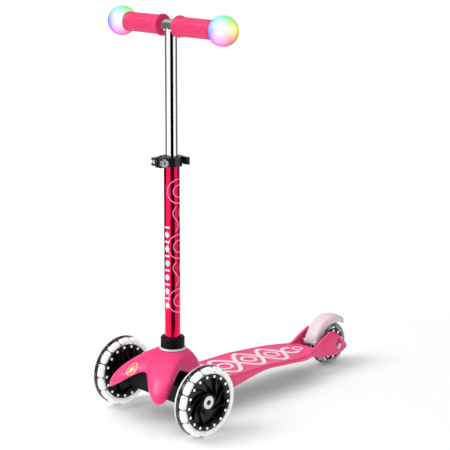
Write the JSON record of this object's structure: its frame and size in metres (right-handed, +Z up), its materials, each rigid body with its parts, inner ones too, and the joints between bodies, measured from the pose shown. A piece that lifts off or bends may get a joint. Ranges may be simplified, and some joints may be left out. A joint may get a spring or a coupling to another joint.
{
  "type": "kick scooter",
  "caption": "Child's lean-to-steer kick scooter with two front wheels, a braked rear wheel, a height-adjustable T-shaped bar and light balls on the grips.",
  "frame": {"origin": "centre of the footprint, on the ground", "axes": "+Z up, -Y the way the scooter rolls, +X the rider's left"},
  "size_m": [0.286, 0.518, 0.677],
  "materials": {
    "pink_plastic": "moulded plastic, satin gloss with fine grain",
    "black_plastic": "glass-filled nylon, fine grain",
    "black_metal": "satin black anodised",
    "steel": "zinc plated steel",
    "chrome": "polished chrome plate",
    "crimson_metal": "metallic crimson lacquer",
    "grip_rubber": "soft pink rubber with an embossed oval",
    "light_lens": "translucent diffusing shell, glows in many colours",
    "light_module": "white light module",
    "white_plastic": "white moulded plastic",
    "clear_tyre": "clear cast polyurethane",
    "wheel_core": "black moulded core",
    "bearing_steel": "bright bearing rings",
    "lamp_white": "white lamps moulded in the wheel",
    "brake_plastic": "translucent pale pink plastic",
    "brake_lining": "dark brake lining",
    "spring_steel": "bright spring wire"
  },
  "bodies": {
    "base": {"deck": "pink_plastic", "axle_carrier": "black_plastic", "carrier_screws": "steel", "lean_bolt": "steel", "lean_nut": "steel", "king_pins": "steel", "lean_spring_left": "spring_steel", "lean_spring_right": "spring_steel", "brake_pin": "steel", "brake_spring": "spring_steel", "rear_axle": "steel", "rear_axle_nut": "steel", "rear_spacers": "black_plastic"},
    "head": {"head_cover": "pink_plastic", "head_core": "black_plastic", "dust_ring": "white_plastic", "stem_collar": "black_plastic", "lower_tube": "crimson_metal", "foot_plug": "black_plastic", "tube_bushing": "black_plastic", "clamp_body": "black_metal", "clamp_bolt": "steel", "clamp_nut": "steel", "lever_pin": "steel"},
    "button": {"release_button": "steel"},
    "lever": {"clamp_lever": "black_metal"},
    "handlebar": {"upper_tube": "chrome", "crossbar": "chrome", "grip_left": "grip_rubber", "grip_right": "grip_rubber", "light_base_left": "white_plastic", "light_base_right": "white_plastic", "light_module_left": "light_module", "light_module_right": "light_module", "light_lens_left": "light_lens", "light_lens_right": "light_lens"},
    "steer_left": {"knuckle_left": "black_plastic", "front_axle_left": "black_metal"},
    "steer_right": {"knuckle_right": "black_plastic", "front_axle_right": "black_metal"},
    "tie": {"tie_rod": "black_plastic"},
    "wheel_left": {"front_core_left": "wheel_core", "front_tyre_left": "clear_tyre", "front_bearings_left": "bearing_steel", "front_light_ring_left": "lamp_white"},
    "wheel_right": {"front_core_right": "wheel_core", "front_tyre_right": "clear_tyre", "front_bearings_right": "bearing_steel", "front_light_ring_right": "lamp_white"},
    "wheel_rear": {"rear_core": "wheel_core", "rear_tyre": "clear_tyre", "rear_bearings": "bearing_steel", "rear_light_ring": "lamp_white"},
    "brake": {"brake_fender": "brake_plastic", "brake_pad": "brake_lining"}
  },
  "joints": [
    {"name": "head_lean", "type": "hinge", "parent": "base", "child": "head", "pos_m": [0, -0.1689, 0.062], "axis": [0, 1, 0], "range_deg": [-12, 12], "stiffness_Nm_per_rad": 45, "deforming": ["lean_spring_left", "lean_spring_right"]},
    {"name": "steer_left_pin", "type": "hinge", "parent": "base", "child": "steer_left", "pos_m": [0.076, -0.1929, 0.06], "axis": [0, 0, 1], "range_deg": [-10.5, 10.5]},
    {"name": "steer_right_pin", "type": "hinge", "parent": "base", "child": "steer_right", "pos_m": [-0.076, -0.1929, 0.06], "axis": [0, 0, 1], "range_deg": [-10.5, 10.5]},
    {"name": "tie_rod_slide", "type": "slide", "parent": "base", "child": "tie", "axis": [1, 0, 0], "range_m": [-0.005, 0.005]},
    {"name": "wheel_left_spin", "type": "hinge", "parent": "steer_left", "child": "wheel_left", "pos_m": [0.103, -0.1929, 0.06], "axis": [1, 0, 0], "continuous": true},
    {"name": "wheel_right_spin", "type": "hinge", "parent": "steer_right", "child": "wheel_right", "pos_m": [-0.103, -0.1929, 0.06], "axis": [1, 0, 0], "continuous": true},
    {"name": "wheel_rear_spin", "type": "hinge", "parent": "base", "child": "wheel_rear", "pos_m": [0, 0.2191, 0.04], "axis": [1, 0, 0], "continuous": true},
    {"name": "brake_press", "type": "hinge", "parent": "base", "child": "brake", "pos_m": [0, 0.1741, 0.052], "axis": [-1, 0, 0], "range_deg": [0, 4.5], "stiffness_Nm_per_rad": 4, "springref_deg": -5.73},
    {"name": "height_slide", "type": "slide", "parent": "head", "child": "handlebar", "axis": [0, 0, 1], "range_m": [-0.18, 0.02]},
    {"name": "lever_swing", "type": "hinge", "parent": "head", "child": "lever", "pos_m": [-0.013, -0.1929, 0.4365], "axis": [0, 0, 1], "range_deg": [0, 150]},
    {"name": "button_press", "type": "slide", "parent": "head", "child": "button", "axis": [0, -1, 0], "range_m": [0, 0.0025], "stiffness_N_per_m": 300, "springref_m": -0.003}
  ],
  "couplings": [
    {"joint": "steer_left_pin", "follows": "head_lean", "ratio": 0.83333},
    {"joint": "steer_right_pin", "follows": "head_lean", "ratio": 0.83333},
    {"joint": "tie_rod_slide", "follows": "head_lean", "m_per_rad": -0.021667}
  ]
}
